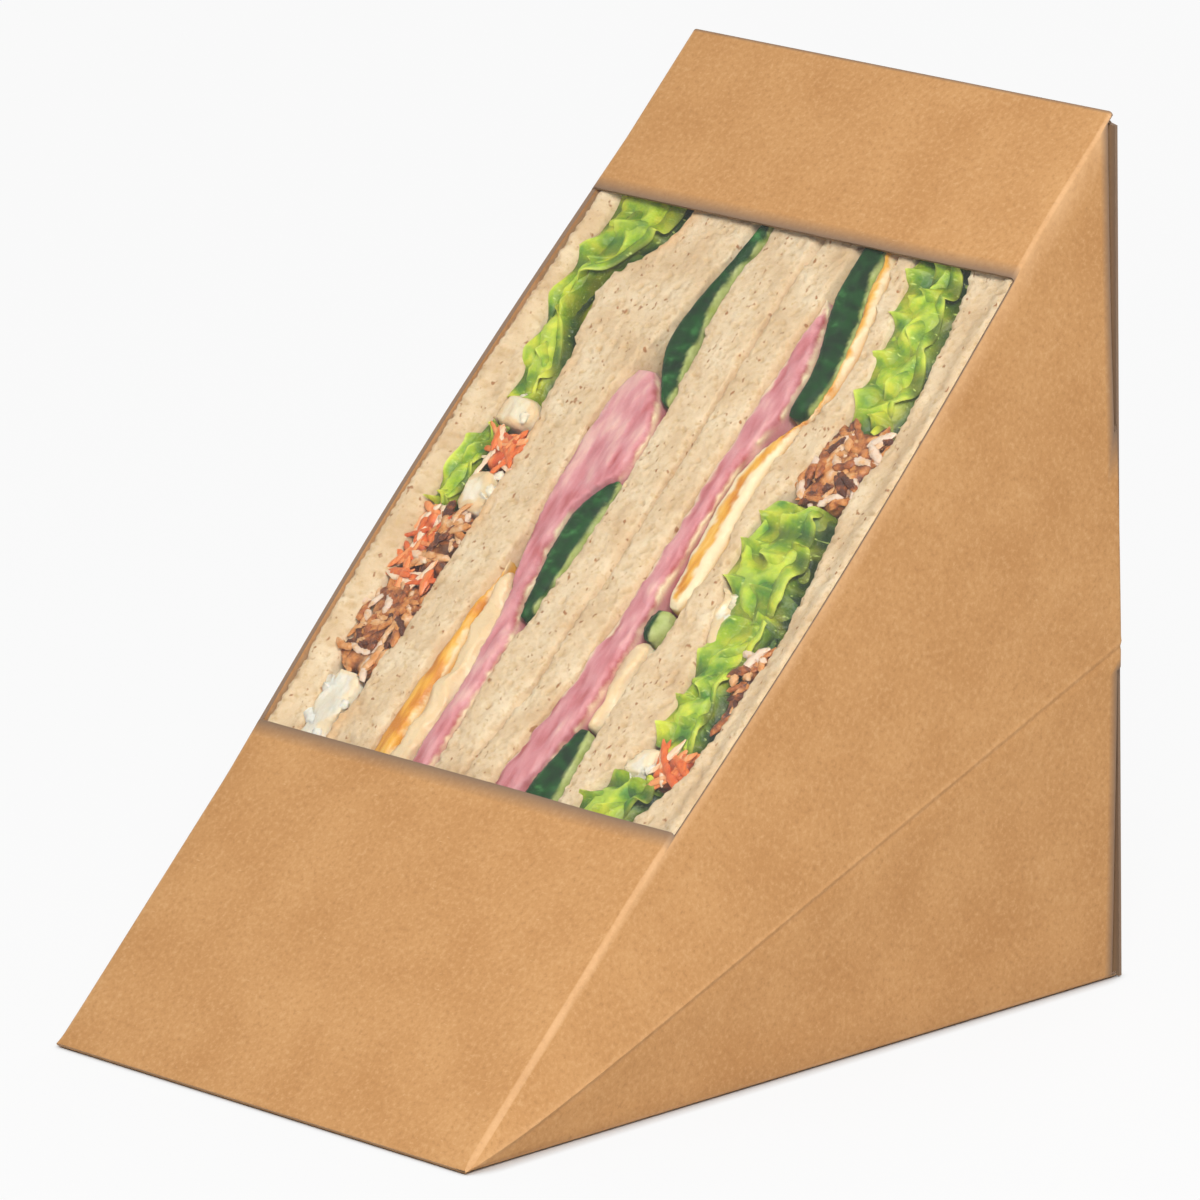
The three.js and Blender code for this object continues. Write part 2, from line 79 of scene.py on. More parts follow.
CREASE_ANGLE = math.atan2(CREASE_RISE, DEPTH)


def slope_places(points):
    """Way up the slope and depth under it of points in millimetres."""
    y = points[:, 1] - FRONT
    z = points[:, 2]
    return y * COS + z * SIN, y * SIN - z * COS


def from_slope(x, way, depth):
    """Points at x across the pack, way up the slope and depth under it."""
    y, z = way * COS + depth * SIN + FRONT, way * SIN - depth * COS
    return np.stack(np.broadcast_arrays(x, y, z), axis=-1)


# Numbers that look random but are the same in every run

CELL_PRIMES = (73856093, 19349663, 83492791)
SEED_STEP, SEED_START = 40503, 977
STIRS = ((13, 1274126177), (15, 2246822519))
LOW_32_BITS = 0xFFFFFFFF
LOW_16_BITS = 0xFFFF


def hashed(cells, seed):
    """A number from 0 to 1 for each whole-number cell."""
    x, y, z = (cells[..., axis] * prime for axis, prime in enumerate(CELL_PRIMES))
    mixed = (x ^ y ^ z ^ (seed * SEED_STEP + SEED_START)) & LOW_32_BITS
    for shift, factor in STIRS:
        mixed = ((mixed ^ (mixed >> shift)) * factor) & LOW_32_BITS
    return ((mixed ^ (mixed >> 16)) & LOW_16_BITS) / LOW_16_BITS


def noise(points, size, seed=0):
    """Smooth noise from -1 to 1, with features about size millimetres across."""
    scaled = points / size
    cell = np.floor(scaled).astype(np.int64)
    f = scaled - cell
    f = f * f * (3 - 2 * f)
    total = np.zeros(points.shape[:-1])
    for corner in itertools.product((0, 1), repeat=3):
        weight = np.prod(np.where(np.array(corner), f, 1 - f), axis=-1)
        total += weight * hashed(cell + np.array(corner), seed)
    return 2 * total - 1


def cell_distance(points, size, seed=0):
    """Distance to the nearest of scattered points, in shares of their spacing."""
    scaled = points / size
    cell = np.floor(scaled).astype(np.int64)
    nearest = np.full(len(points), 9.0)
    for offset in itertools.product((-1, 0, 1), repeat=3):
        other = cell + np.array(offset)
        spread = np.stack([hashed(other, seed + axis) for axis in (1, 2, 3)], axis=1)
        nearest = np.minimum(nearest, np.linalg.norm(scaled - other - spread, axis=1))
    return nearest


def smoothstep(low, high, value):
    """A soft step from 0 at low to 1 at high."""
    t = np.clip((value - low) / (high - low), 0, 1)
    return t * t * (3 - 2 * t)


# Materials

def linear(red, green, blue):
    """A colour given as 0 to 255 in the picture's own scale, for a shader."""
    channels = [c / 255 for c in (red, green, blue)]
    return [c / 12.92 if c <= 0.04045 else ((c + 0.055) / 1.055) ** 2.4 for c in channels] + [1]


def feed(tree, socket, value):
    """Link a socket to another one, or set it to a plain value."""
    if isinstance(value, bpy.types.NodeSocket):
        tree.links.new(value, socket)
    else:
        socket.default_value = value


def new_node(tree, kind, inputs):
    """A shader node with some of its inputs, by name, linked or set."""
    node = tree.nodes.new("ShaderNode" + kind)
    for name, value in inputs.items():
        feed(tree, node.inputs[name], value)
    return node


def maths(tree, operation, *terms):
    node = new_node(tree, "Math", {})
    node.operation = operation
    for socket, term in zip(node.inputs, terms):
        feed(tree, socket, term)
    return node.outputs[0]


class Look:
    """A Principled material with short calls for its nodes."""

    def __init__(self, name, roughness, specular, alpha=1):
        self.material = bpy.data.materials.new(name)
        self.material.use_nodes = True
        self.tree = self.material.node_tree
        self.shader = self.tree.nodes["Principled BSDF"]
        self.shader.inputs["Roughness"].default_value = roughness
        self.shader.inputs["Specular IOR Level"].default_value = specular
        self.shader.inputs["Alpha"].default_value = alpha
        self.place = self.node("TexCoord").outputs["Object"]

    def node(self, kind, **inputs):
        return new_node(self.tree, kind, inputs)

    def noise(self, size, stretch=(1, 1, 1), detail=3, roughness=0.55):
        """Noise with features about size millimetres across.

        stretch lengthens them across the pack, up the slope and into the slope."""
        mapping = self.node("Mapping", Rotation=(SLOPE, 0, 0), Scale=stretch, Vector=self.place)
        mapping.vector_type = "TEXTURE"
        texture = self.node(
            "TexNoise", Scale=1 / (size * MM), Detail=detail, Roughness=roughness,
            Vector=mapping.outputs["Vector"],
        )
        return texture.outputs["Fac"]

    def attribute(self, name):
        """A value that the mesh holds at each point."""
        node = self.node("Attribute")
        node.attribute_name = name
        return node.outputs["Fac"]

    def ramp(self, factor, stops):
        """Colours at places from 0 to 1: [(place, (red, green, blue)), ...]."""
        node = self.node("ValToRGB", Fac=factor)
        while len(node.color_ramp.elements) < len(stops):
            node.color_ramp.elements.new(0.5)
        for element, (place, colour) in zip(node.color_ramp.elements, stops):
            element.position = place
            element.color = linear(*colour)
        return node.outputs["Color"]

    def mix(self, factor, first, second):
        """The first colour where factor is 0, the second where it is 1."""
        node = self.node("Mix", Factor=factor)
        node.data_type = "RGBA"
        for socket, colour in ((node.inputs[6], first), (node.inputs[7], second)):
            feed(self.tree, socket, linear(*colour) if isinstance(colour, tuple) else colour)
        return node.outputs[2]

    def window(self, value, low, high):
        """0 at low and 1 at high, and even beyond both."""
        node = self.node("MapRange", **{"From Min": low, "From Max": high, "Value": value})
        return node.outputs["Result"]

    def colour(self, output):
        feed(self.tree, self.shader.inputs["Base Color"], output)

    def bump(self, height, distance, strength=1.0):
        """Relief of the given depth in millimetres."""
        node = self.node("Bump", Distance=distance * MM, Strength=strength, Height=height)
        normal = self.shader.inputs["Normal"]
        if normal.is_linked:
            feed(self.tree, node.inputs["Normal"], normal.links[0].from_socket)
        feed(self.tree, normal, node.outputs["Normal"])


def kraft_look():
    look = Look("kraft_board", roughness=0.72, specular=0.25)
    blotches = look.noise(11, detail=4)
    colour = look.ramp(blotches, [(0.3, (193, 141, 88)), (0.7, (206, 155, 101))])
    grain = look.noise(0.8, detail=4, roughness=0.7)
    colour = look.mix(look.window(grain, 0.5, 0.85), colour, (218, 172, 122))
    colour = look.mix(look.window(grain, 0.46, 0.2), colour, (178, 128, 80))
    fibres = look.noise(0.35, stretch=(3, 1, 1), detail=3)
    colour = look.mix(look.window(fibres, 0.66, 0.9), colour, (224, 184, 138))
    # Painted highlight along the folds and the crease, carried by the fold attribute
    colour = look.mix(look.attribute("fold"), colour, (236, 192, 146))
    # Cut edges darker and greyer: partly the board's own edge colour, partly painted shade for edges
    # that lie in shadow
    colour = look.mix(look.attribute("cut"), colour, (136, 112, 92))
    look.colour(colour)
    look.bump(fibres, 0.03, 0.4)
    look.bump(look.noise(3, detail=2), 0.1, 0.3)
    return look.material


def film_look():
    look = Look("clear_film", roughness=0.08, specular=0.5, alpha=0.02)
    look.colour(look.ramp(look.noise(12), [(0.3, (240, 242, 241)), (0.7, (250, 250, 250))]))
    look.bump(look.noise(7, detail=2), 0.1, 0.4)
    return look.material


def food_look(name, roughness, scatter, relief, specular=0.3):
    """A moist, slightly translucent food."""
    look = Look(name, roughness, specular)
    look.shader.inputs["Subsurface Weight"].default_value = scatter
    look.shader.inputs["Subsurface Radius"].default_value = (1, 0.6, 0.35)
    look.shader.inputs["Subsurface Scale"].default_value = 0.9 * MM
    look.bump(look.noise(0.8, detail=4), relief, 0.8)
    return look


def bread_look():
    look = food_look("bread", roughness=0.85, scatter=0.1, relief=0.3)
    base = look.ramp(
        look.noise(7, detail=5),
        [(0.3, (212, 180, 138)), (0.5, (227, 200, 160)), (0.72, (237, 217, 182))],
    )
    base = look.mix(look.window(look.noise(0.9, detail=4), 0.54, 0.76), base, (212, 180, 130))
    # Painted shade in the crumb's pits
    base = look.mix(look.attribute("pit_shade"), base, (196, 160, 110))
    bran = look.noise(0.85, stretch=(1, 1.4, 1.4), detail=1)
    base = look.mix(look.window(bran, 0.67, 0.76), base, (172, 124, 82))
    crust = look.ramp(look.noise(4, detail=5), [(0.3, (150, 92, 44)), (0.7, (193, 133, 73))])
    base = look.mix(look.attribute("smear"), base, (238, 190, 134))
    look.colour(look.mix(look.attribute("crust"), base, crust))
    return look.material


def lettuce_look():
    look = food_look("lettuce", roughness=0.36, scatter=0.15, relief=0.3)
    leaf = look.ramp(
        look.noise(3.4, detail=3),
        [(0.34, (92, 146, 44)), (0.5, (158, 190, 34)), (0.64, (212, 216, 52))],
    )
    # rim is a paler leaf margin and a painted highlight on raised folds; shade is painted shade in
    # hollows and gaps
    leaf = look.mix(look.attribute("rim"), leaf, (222, 232, 96))
    leaf = look.mix(look.attribute("shade"), leaf, (17, 44, 12))
    veins = look.noise(0.6, stretch=(4, 1, 1), detail=1)
    look.colour(look.mix(look.window(veins, 0.66, 0.8), leaf, (206, 222, 116)))
    return look.material


# A grain's size, and how far it is drawn out across the pack, up the slope and into it
ALONG_THE_SLOPE = (1.4, (0.5, 3, 3))


def toned_look(name, stops, roughness, relief, edge, scatter=0.15, grain=ALONG_THE_SLOPE, contrast=0.9):
    """A food whose colours follow its tone and fine grain, with another colour at its borders."""
    look = food_look(name, roughness, scatter, relief)
    size, stretch = grain
    fine = look.noise(size, stretch=stretch, detail=4)
    centred = maths(look.tree, "SUBTRACT", look.attribute("tone"), contrast / 2)
    tone = maths(look.tree, "MULTIPLY_ADD", fine, contrast, centred)
    colour = look.ramp(tone, stops)
    colour = look.mix(look.attribute("rim"), colour, edge)
    look.colour(look.mix(look.attribute("shade"), colour, (74, 44, 24)))
    return look.material


def cucumber_look():
    look = food_look("cucumber", roughness=0.45, scatter=0.03, relief=0.15, specular=0.08)
    skin = look.ramp(
        look.noise(2.6, stretch=(1, 0.7, 1), detail=4),
        [(0.35, (8, 38, 12)), (0.6, (20, 70, 24)), (0.75, (60, 124, 60))],
    )
    flesh = look.ramp(look.noise(2), [(0.3, (178, 192, 92)), (0.7, (214, 222, 150))])
    look.colour(look.mix(look.attribute("rim"), skin, flesh))
    return look.material


CREAM = (240, 220, 178)
LOOKS = {
    "kraft_board": kraft_look(),
    "clear_film": film_look(),
    "bread": bread_look(),
    "lettuce": lettuce_look(),
    "cucumber": cucumber_look(),
    "ham": toned_look(
        "ham",
        [(0.1, (178, 84, 82)), (0.4, (204, 128, 132)), (0.62, (217, 152, 152)), (0.85, (232, 186, 172))],
        roughness=0.42, relief=0.2, edge=CREAM, grain=(2, (0.5, 2.2, 2.2)), contrast=0.65,
    ),
    "cheese": toned_look(
        "cheese",
        [(0.25, (206, 128, 30)), (0.5, (230, 166, 54)), (0.8, (240, 196, 104))],
        roughness=0.42, relief=0.12, edge=CREAM,
    ),
    "carrot": toned_look(
        "carrot",
        [(0.2, (206, 84, 36)), (0.5, (230, 116, 52)), (0.75, (241, 160, 98)), (0.95, (246, 218, 184))],
        roughness=0.34, relief=0.15, edge=(242, 160, 96),
    ),
    "chicken": toned_look(
        "chicken",
        [
            (0.1, (84, 40, 18)), (0.3, (166, 92, 42)), (0.5, (214, 142, 74)),
            (0.7, (226, 176, 124)), (0.9, (236, 208, 182)),
        ],
        roughness=0.36, relief=0.25, edge=(204, 146, 92), grain=(1.1, (1, 1, 1)),
    ),
    "mayonnaise": toned_look(
        "mayonnaise",
        [(0.25, (232, 214, 176)), (0.75, (244, 233, 208))],
        roughness=0.3, relief=0.2, edge=(232, 203, 156), scatter=0.25,
    ),
    "egg": toned_look(
        "egg",
        [(0.25, (226, 215, 190)), (0.75, (241, 235, 219))],
        roughness=0.32, relief=0.25, edge=(238, 218, 180), scatter=0.25,
    ),
}


# Meshes

def added(name, data):
    """A new object in the scene."""
    item = bpy.data.objects.new(name, data)
    bpy.context.scene.collection.objects.link(item)
    return item


def set_values(mesh, name, values):
    """A number at each of the mesh's points, or one number for all."""
    attribute = mesh.attributes.get(name) or mesh.attributes.new(name, "FLOAT", "POINT")
    numbers = np.broadcast_to(values, len(mesh.vertices)).astype(np.float32)
    attribute.data.foreach_set("value", numbers)


def finish_piece(name, mesh, slot, body, nodes):
    """An object of the mesh that rides a body, with its material, in place of the frame's nodes."""
    piece = added(name, mesh)
    mesh.materials.clear()
    mesh.materials.append(LOOKS[slot])
    mesh.polygons.foreach_set("use_smooth", [True] * len(mesh.polygons))
    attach(piece, body)
    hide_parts(*nodes)


def thick_sheet(outer, inner, values, exists=None, wrap=False):
    """Points, faces and values of a sheet with two skins, closed between them at its free edges.

    outer and inner are rows by columns of points, values holds rows by columns of numbers, and
    exists says which cells are there: all, unless it is given. wrap closes the rows to loops."""
    rows, columns = outer.shape[:2]
    count = rows * columns
    points = np.concatenate([outer.reshape(-1, 3), inner.reshape(-1, 3)])
    faces = []
    edges = {}

    def note(a, b):
        """Keep the edges that only one cell has, in the order in which they are met."""
        if (b, a) in edges:
            del edges[(b, a)]
        else:
            edges[(a, b)] = True

    for row in range(rows - 1):
        for column in range(columns if wrap else columns - 1):
            if exists is not None and not exists[row, column]:
                continue
            beside = (column + 1) % columns
            corners = [
                row * columns + column,
                row * columns + beside,
                (row + 1) * columns + beside,
                (row + 1) * columns + column,
            ]
            faces.append(corners)
            faces.append([count + corner for corner in reversed(corners)])
            for a, b in zip(corners, corners[1:] + corners[:1]):
                note(a, b)
    rim = [[b, a, count + a, count + b] for a, b in edges]
    values = {key: np.concatenate([value.reshape(-1)] * 2) for key, value in values.items()}
    return points, faces + rim, values, rim


def board_sheet(*sheet, **options):
    """A sheet of board, which also marks its cut edges."""
    points, faces, values, rim = thick_sheet(*sheet, **options)
    values["cut"] = np.zeros(len(points))
    # The cut edges get a darker colour: the board's own edge colour and painted shade
    values["cut"][np.unique(rim).astype(int)] = 1
    return points, faces, values


SAME_POINT = 0.004
SHARP_ANGLE = math.radians(50)


def mesh_of(name, parts):
    """One mesh of several parts, each (points, faces, values, ...), cleaned of spare points."""
    points = np.concatenate([part[0] for part in parts])
    faces = []
    start = 0
    for part in parts:
        faces += [[start + corner for corner in face] for face in part[1]]
        start += len(part[0])
    mesh = bpy.data.meshes.new(name)
    mesh.from_pydata((points * MM).tolist(), [], faces)
    for key in parts[0][2]:
        values = [np.broadcast_to(part[2][key], len(part[0])) for part in parts]
        set_values(mesh, key, np.concatenate(values))
    built = bmesh.new()
    built.from_mesh(mesh)
    bmesh.ops.delete(built, geom=[v for v in built.verts if not v.link_faces], context="VERTS")
    bmesh.ops.remove_doubles(built, verts=built.verts, dist=SAME_POINT * MM)
    bmesh.ops.dissolve_degenerate(built, edges=built.edges, dist=SAME_POINT / 2 * MM)
    bmesh.ops.recalc_face_normals(built, faces=built.faces)
    for edge in built.edges:
        if len(edge.link_faces) == 2 and edge.calc_face_angle(0) > SHARP_ANGLE:
            edge.smooth = False
    built.to_mesh(mesh)
    built.free()
    return mesh


# The side panels' shape, as in the frame: flat at the folds, ridged along the crease

def fold_bow(distance):
    start = WINDOW_START - BOW_RUN
    t = np.clip((distance - start) / (WINDOW_END + BOW_RUN - start), 0, 1)
    return SIDE_BOW * np.sin(math.pi * t)


def side_bulge(y, z):
    distance = np.hypot(y, z)
    angle = np.arctan2(z, np.maximum(y, 1e-6))
    ridge = CREASE_LIFT * (1 - np.exp(-distance / CREASE_RUN)) * (1 - 0.5 * distance / SLOPE_LENGTH)
    t = np.clip((angle - CREASE_ANGLE) / (SLOPE - CREASE_ANGLE), 0, 1)
    lower = ridge * np.clip(angle / CREASE_ANGLE, 0, 1)
    upper = (1 - t) * ridge + t * fold_bow(distance)
    return np.where(angle <= CREASE_ANGLE, lower, upper)


def crease_distance(y, z):
    """Signed distance from the side panel's crease, in its plane."""
    return z * math.cos(CREASE_ANGLE) - y * math.sin(CREASE_ANGLE)


def score_bead(y, z):
    """The raised bead of the scored crease, with a fine groove below it."""
    away = crease_distance(y, z)
    reach = smoothstep(2, 12, np.hypot(y, z))
    bead = 0.1 * np.exp(-((away / 0.3) ** 2)) - 0.13 * np.exp(-(((away + 0.75) / 0.35) ** 2))
    return bead * reach


# Carton: a loop round the sleeve at each station from the front edge to the rear

FRONT_RADIUS = 0.3
FRONT_CENTRE = FRONT_RADIUS / math.tan(SLOPE / 2)
FRONT_START = FRONT_CENTRE - FRONT_RADIUS
INNER_APEX = (BOARD / COS + BOARD) / TAN


def stations():
    """Places from the front edge to the rear, with the window's and the flaps' edges among them."""
    fixed = [FRONT_START, FRONT_START + 0.05, FRONT_START + 0.2, FRONT_CENTRE, 1.2, 2, 3, 4.5, 6]
    window = [WINDOW_START * COS, WINDOW_END * COS]
    rear = [DEPTH - EDGE_RECESS, DEPTH - FOLD_RADIUS, DEPTH - 0.35, DEPTH]
    spans = [(6, window[0], 18), (window[0], window[1], 40), (window[1], rear[0], 12)]
    even = [np.linspace(low, high, steps + 1)[1:] for low, high, steps in spans]
    return np.concatenate([fixed, *even, rear[1:]])


def side_fractions():
    """Places up the side panel at its rear edge, as shares of the height, close at the crease."""
    steps = [8, 16, 24, 32, 38, 42, FLAP_LOW, 46.4, 47.3, 47.8, 48.1, 48.4, CREASE_RISE, 49, 49.3, 49.6]
    steps += [50.1, 51, 52.4, 55, 60, 66, 72.5, FLAP_HIGH, 86, 94, 102, 110, 117]
    return np.array(steps) / HEIGHT


REAR_ROWS = 3
FLAP_SHARES = np.linspace(0, 1, 9)[1:]
NEARLY = 0.01


def carton_columns():
    """The places round the sleeve: each one's kind, its side and its own place."""
    arc = np.linspace(0, math.pi / 2, 5)[1:-1]
    up_side = [0, *side_fractions(), 1]
    right = [("low_arc", 1, angle) for angle in arc]
    right += [("side", 1, share) for share in up_side]
    right += [("high_arc", 1, angle) for angle in arc]
    left = [(kind, -1, place) for kind, _, place in reversed(right)]
    floor = [("floor", 0, x) for x in np.linspace(-1, 1, 15)]
    top = [("top", 0, x) for x in np.linspace(1, -1, 33)]
    return floor + right + top + left


def on_flap(kind, place):
    """Whether a dust flap joins the side panel at this place."""
    return kind == "side" and FLAP_LOW - NEARLY <= place * HEIGHT <= FLAP_HIGH + NEARLY


def section(station, lean, inset):
    """y, low and high of the sleeve at a station, on the outer skin or inset from it.

    lean is 0 on the floor and 1 on the slope, where the inner skin starts further back."""
    if inset:
        inside = 1 - math.exp(-(station - FRONT_START) / 5)
        y = station + ((INNER_APEX - FRONT_START) * (1 - inside) + lean * inset * SIN * inside)
        y = min(y, DEPTH)
        high = inset if station == FRONT_START else y * TAN - inset / COS
        return y, inset, high
    low, high = 0, station * TAN
    round_rise = math.sqrt(max(FRONT_RADIUS**2 - (station - FRONT_CENTRE) ** 2, 0))
    if station < FRONT_CENTRE:
        low = FRONT_RADIUS - round_rise
    if station < FRONT_CENTRE - FRONT_RADIUS * SIN:
        high = FRONT_RADIUS + round_rise
    return station, low, high


def loop_point(kind, side, place, station, inset):
    """One point of the sleeve's loop: on the floor, a fold, a side panel or the slope."""
    lean = {"floor": 0, "low_arc": 0, "high_arc": 1, "top": 1}.get(kind, place)
    y, low, high = section(station, lean, inset)
    tall = max(high - low, 0)
    radius = min(max(FOLD_RADIUS - inset, 0.15), 0.45 * tall)
    half = HALF_WIDTH - inset
    bow = float(fold_bow(y / COS))
    if kind == "floor":
        return place * (half - radius), y, low
    if kind == "top":
        return place * (half + bow - radius), y, high
    if kind == "low_arc":
        x = side * (half - radius + radius * math.sin(place))
        return x, y, low + radius - radius * math.cos(place)
    if kind == "high_arc":
        x = side * (half + bow - radius + radius * math.cos(place))
        return x, y, high - radius + radius * math.sin(place)
    share = (place * HEIGHT - radius) / (HEIGHT - 2 * radius)
    share = min(max(share, 0), 1) if 0 < place < 1 else place
    z = low + radius + (tall - 2 * radius) * share
    bulge, bead = float(side_bulge(y, z)), float(score_bead(y, z))
    return side * (half + bulge + bead), y, z


def carton_skin(columns, rows_at, inset):
    """One skin of the sleeve, rows by columns of points, with the dust flaps in its last rows."""
    main_rows = len(rows_at)
    points = np.zeros((main_rows + len(FLAP_SHARES), len(columns), 3))
    first_rear = main_rows - REAR_ROWS
    for row, station in enumerate(rows_at):
        for column, (kind, side, place) in enumerate(columns):
            x, y, z = loop_point(kind, side, place, station, inset)
            if row >= first_rear and on_flap(kind, place):
                turn = (row - first_rear) / (REAR_ROWS - 1) * math.pi / 4
                own = max(FOLD_RADIUS - inset, 0.1)
                x = side * (abs(x) - own * (1 - math.cos(turn)))
                y = DEPTH - FOLD_RADIUS + own * math.sin(turn)
            points[row, column] = (x, y, z)
    middle = (FLAP_LOW + FLAP_HIGH) / 2
    half_flap = (FLAP_HIGH - FLAP_LOW) / 2
    for column, (kind, side, place) in enumerate(columns):
        if not on_flap(kind, place):
            continue
        height = points[main_rows - 1, column, 2]
        for step, share in enumerate(FLAP_SHARES):
            inward = share * (FLAP_REACH - FOLD_RADIUS) if step else 0
            narrow = float(1 - (FLAP_TAPER / half_flap) * smoothstep(0.55, 1, share))
            x = side * (HALF_WIDTH - FOLD_RADIUS - inward)
            points[main_rows + step, column] = (x, DEPTH - inset, middle + (height - middle) * narrow)
    return points


def carton_cells(columns, rows_at):
    """Which cells of the sleeve are board: none in the window, none past a recessed rear edge."""
    main_rows = len(rows_at)
    exists = np.zeros((main_rows - 1 + len(FLAP_SHARES), len(columns)), bool)
    for column, (kind, _, place) in enumerate(columns):
        beside = columns[(column + 1) % len(columns)]
        kinds = {kind, beside[0]}
        flap = on_flap(kind, place) and on_flap(beside[0], beside[2])
        free_edge = "side" in kinds and not flap
        for row in range(main_rows - 1):
            in_window = WINDOW_START * COS - NEARLY <= rows_at[row] < WINDOW_END * COS - NEARLY
            cut_out = in_window and kinds <= {"top", "high_arc"}
            recessed = free_edge and row >= main_rows - 1 - REAR_ROWS
            exists[row, column] = not (cut_out or recessed)
        if flap:
            exists[main_rows - 1:, column] = True
    return exists


def painted_fold_highlight(columns, outer, main_rows):
    """Painted highlight along the folds: the slope's two side folds, the floor's, and the crease."""
    fold = np.zeros(outer.shape[:2])
    for column, (kind, _, place) in enumerate(columns):
        if kind == "high_arc" or (kind == "side" and place == 1):
            fold[:main_rows, column] = 0.42
        elif kind == "low_arc":
            fold[:main_rows, column] = 0.4
        elif kind == "side":
            y, z = outer[:main_rows, column, 1], outer[:main_rows, column, 2]
            line = np.exp(-((crease_distance(y, z) / 0.6) ** 2))
            fold[:main_rows, column] = 0.14 * line * (1 - 0.5 * y / DEPTH)
    return fold * (0.8 + 0.35 * noise(outer, 3.5, 9))


def carton_parts():
    """The carton's sheet, folded to a sleeve with its window, crease and dust flaps."""
    columns = carton_columns()
    rows_at = stations()
    main_rows = len(rows_at)
    outer = carton_skin(columns, rows_at, 0)
    inner = carton_skin(columns, rows_at, BOARD)
    # fold holds the painted highlight along the folds and the crease
    fold = painted_fold_highlight(columns, outer, main_rows)
    # The sloping panel sags a little between its side folds
    from_fold = np.array([1 - abs(place) if kind == "top" else 0 for kind, _, place in columns])
    sway = 0.16 * noise(outer, 26, 5)
    sag = np.minimum(sway, 0) * smoothstep(0, 0.25, from_fold)
    for points in (outer, inner):
        points[:main_rows, :, 2] += sag[:main_rows]
        points[..., 1] += FRONT
    return board_sheet(outer, inner, {"fold": fold}, exists=carton_cells(columns, rows_at), wrap=True)


def slab(low, high):
    """A flat strip of board with its front corners cut off and its rear ones eased."""
    (x0, y0, z0), (x1, y1, z1) = low, high
    front, rear = 4, 0.2
    points = []
    for z in (z0, z1):
        points += [(x0, y0 + front, z), (x0 + front, y0, z), (x1 - front, y0, z), (x1, y0 + front, z)]
        points += [(x1, y1 - rear, z), (x1 - rear, y1, z), (x0 + rear, y1, z), (x0, y1 - rear, z)]
    n = len(points) // 2
    faces = [list(range(n))[::-1], list(range(n, 2 * n))]
    faces += [[k, (k + 1) % n, n + (k + 1) % n, n + k] for k in range(n)]
    return np.array(points), faces, {"fold": 0, "cut": 0}


def build_carton():
    """The carton with its two glue flaps, which lie on the floor inside."""
    parts = [carton_parts()]
    floor = BOARD + 0.02
    wall, reach = HALF_WIDTH - BOARD - 0.15, HALF_WIDTH - 12.5
    start, end = FRONT + 14, FRONT + DEPTH - 1.5
    for side in (-1, 1):
        left, right = sorted((side * wall, side * reach))
        parts.append(slab((left, start, floor), (right, end, floor + BOARD)))
    finish_piece("board_carton", mesh_of("board_carton", parts), "kraft_board", "pack", ["carton"])


def build_lid():
    """The rear panel and its tuck flap: one strip, bent over at the top."""
    across = np.linspace(-1, 1, 29)
    bend = 0.7
    turn_through = math.pi / 2 + SLOPE
    # Path of the outer face in the pack's section, with the way the board faces
    path = [(LID_FACE, z, 0.0) for z in (0.0, 0.15, *np.linspace(4, LID_TOP - 3, 24))]
    fold_at = bend * math.tan(turn_through / 2)
    centre = np.array([LID_FACE - bend, LID_TOP - fold_at])
    for turn in np.linspace(0, turn_through, 7):
        path.append((centre[0] + bend * math.cos(turn), centre[1] + bend * math.sin(turn), turn))
    last = np.array(path[-1][:2])
    steps = np.array([1, 3, 6, 9, 11, 13, TUCK_LENGTH - 0.4])
    for step in steps:
        y, z = last - step * np.array([COS, SIN])
        path.append((y, z, turn_through))
    outer = np.zeros((len(path), len(across), 3))
    inner = np.zeros_like(outer)
    panel_rows = len(path) - len(steps)
    fold_rows = 6
    for row, (y, z, turn) in enumerate(path):
        half = HALF_WIDTH
        if row >= panel_rows - fold_rows:
            half = HALF_WIDTH - BOARD - 2 * FIT
        if row >= panel_rows:
            share = steps[row - panel_rows] / TUCK_LENGTH
            half -= TUCK_TAPER * float(smoothstep(0.5, 1, share)) * 0.9
        outer[row, :, 0] = across * half
        outer[row, :, 1:] = (y + FRONT, z)
        inner[row] = outer[row] - BOARD * np.array([0, math.cos(turn), math.sin(turn)])
    fold = np.zeros(outer.shape[:2])
    # Painted highlight along the lid's bottom edge and its bend at the top
    fold[:2] = 0.5
    fold[panel_rows - fold_rows:panel_rows] = 0.6
    part = board_sheet(outer, inner, {"fold": fold})
    finish_piece("board_lid", mesh_of("board_lid", [part]), "kraft_board", "lid", ["rear_lid"])


def build_film():
    """The film: across the window behind the board, and turned back inside both side panels."""
    depth_gap, gap, thick, turn = 0.6, 0.05, 0.06, 0.35
    overlap = 6
    way = np.linspace(WINDOW_START - overlap, WINDOW_END + overlap, 60)[:, None]
    legs = np.linspace(9, 1.2, 6)
    across = np.linspace(-1, 1, 41)
    place = np.concatenate([0 * legs - 1, across, 0 * legs + 1])
    leg_depth = np.concatenate([legs, 0 * across, legs[::-1]])

    def skin(inset):
        edge = HALF_WIDTH + fold_bow(way) - inset - gap
        depth = leg_depth + inset
        y, z = way * COS + depth * SIN, way * SIN - depth * COS
        on_leg = np.minimum(edge, HALF_WIDTH - inset - gap + side_bulge(y, z))
        return from_slope(place * np.where(leg_depth > 0, on_leg, edge - turn), way, depth)

    outer, inner = skin(depth_gap), skin(depth_gap + thick)
    ripple = 0.08 * noise(outer, 17, 11)
    middle = np.concatenate([0 * legs, np.cos(across * math.pi / 2) ** 0.5, 0 * legs])
    for points in (outer, inner):
        points[..., 1] += SIN * (ripple + 0.02) * middle
        points[..., 2] -= COS * (ripple + 0.02) * middle
    part = thick_sheet(outer, inner, {"fold": 0 * ripple})
    finish_piece("film_window", mesh_of("film_window", [part]), "clear_film", "pack", ["window_film"])


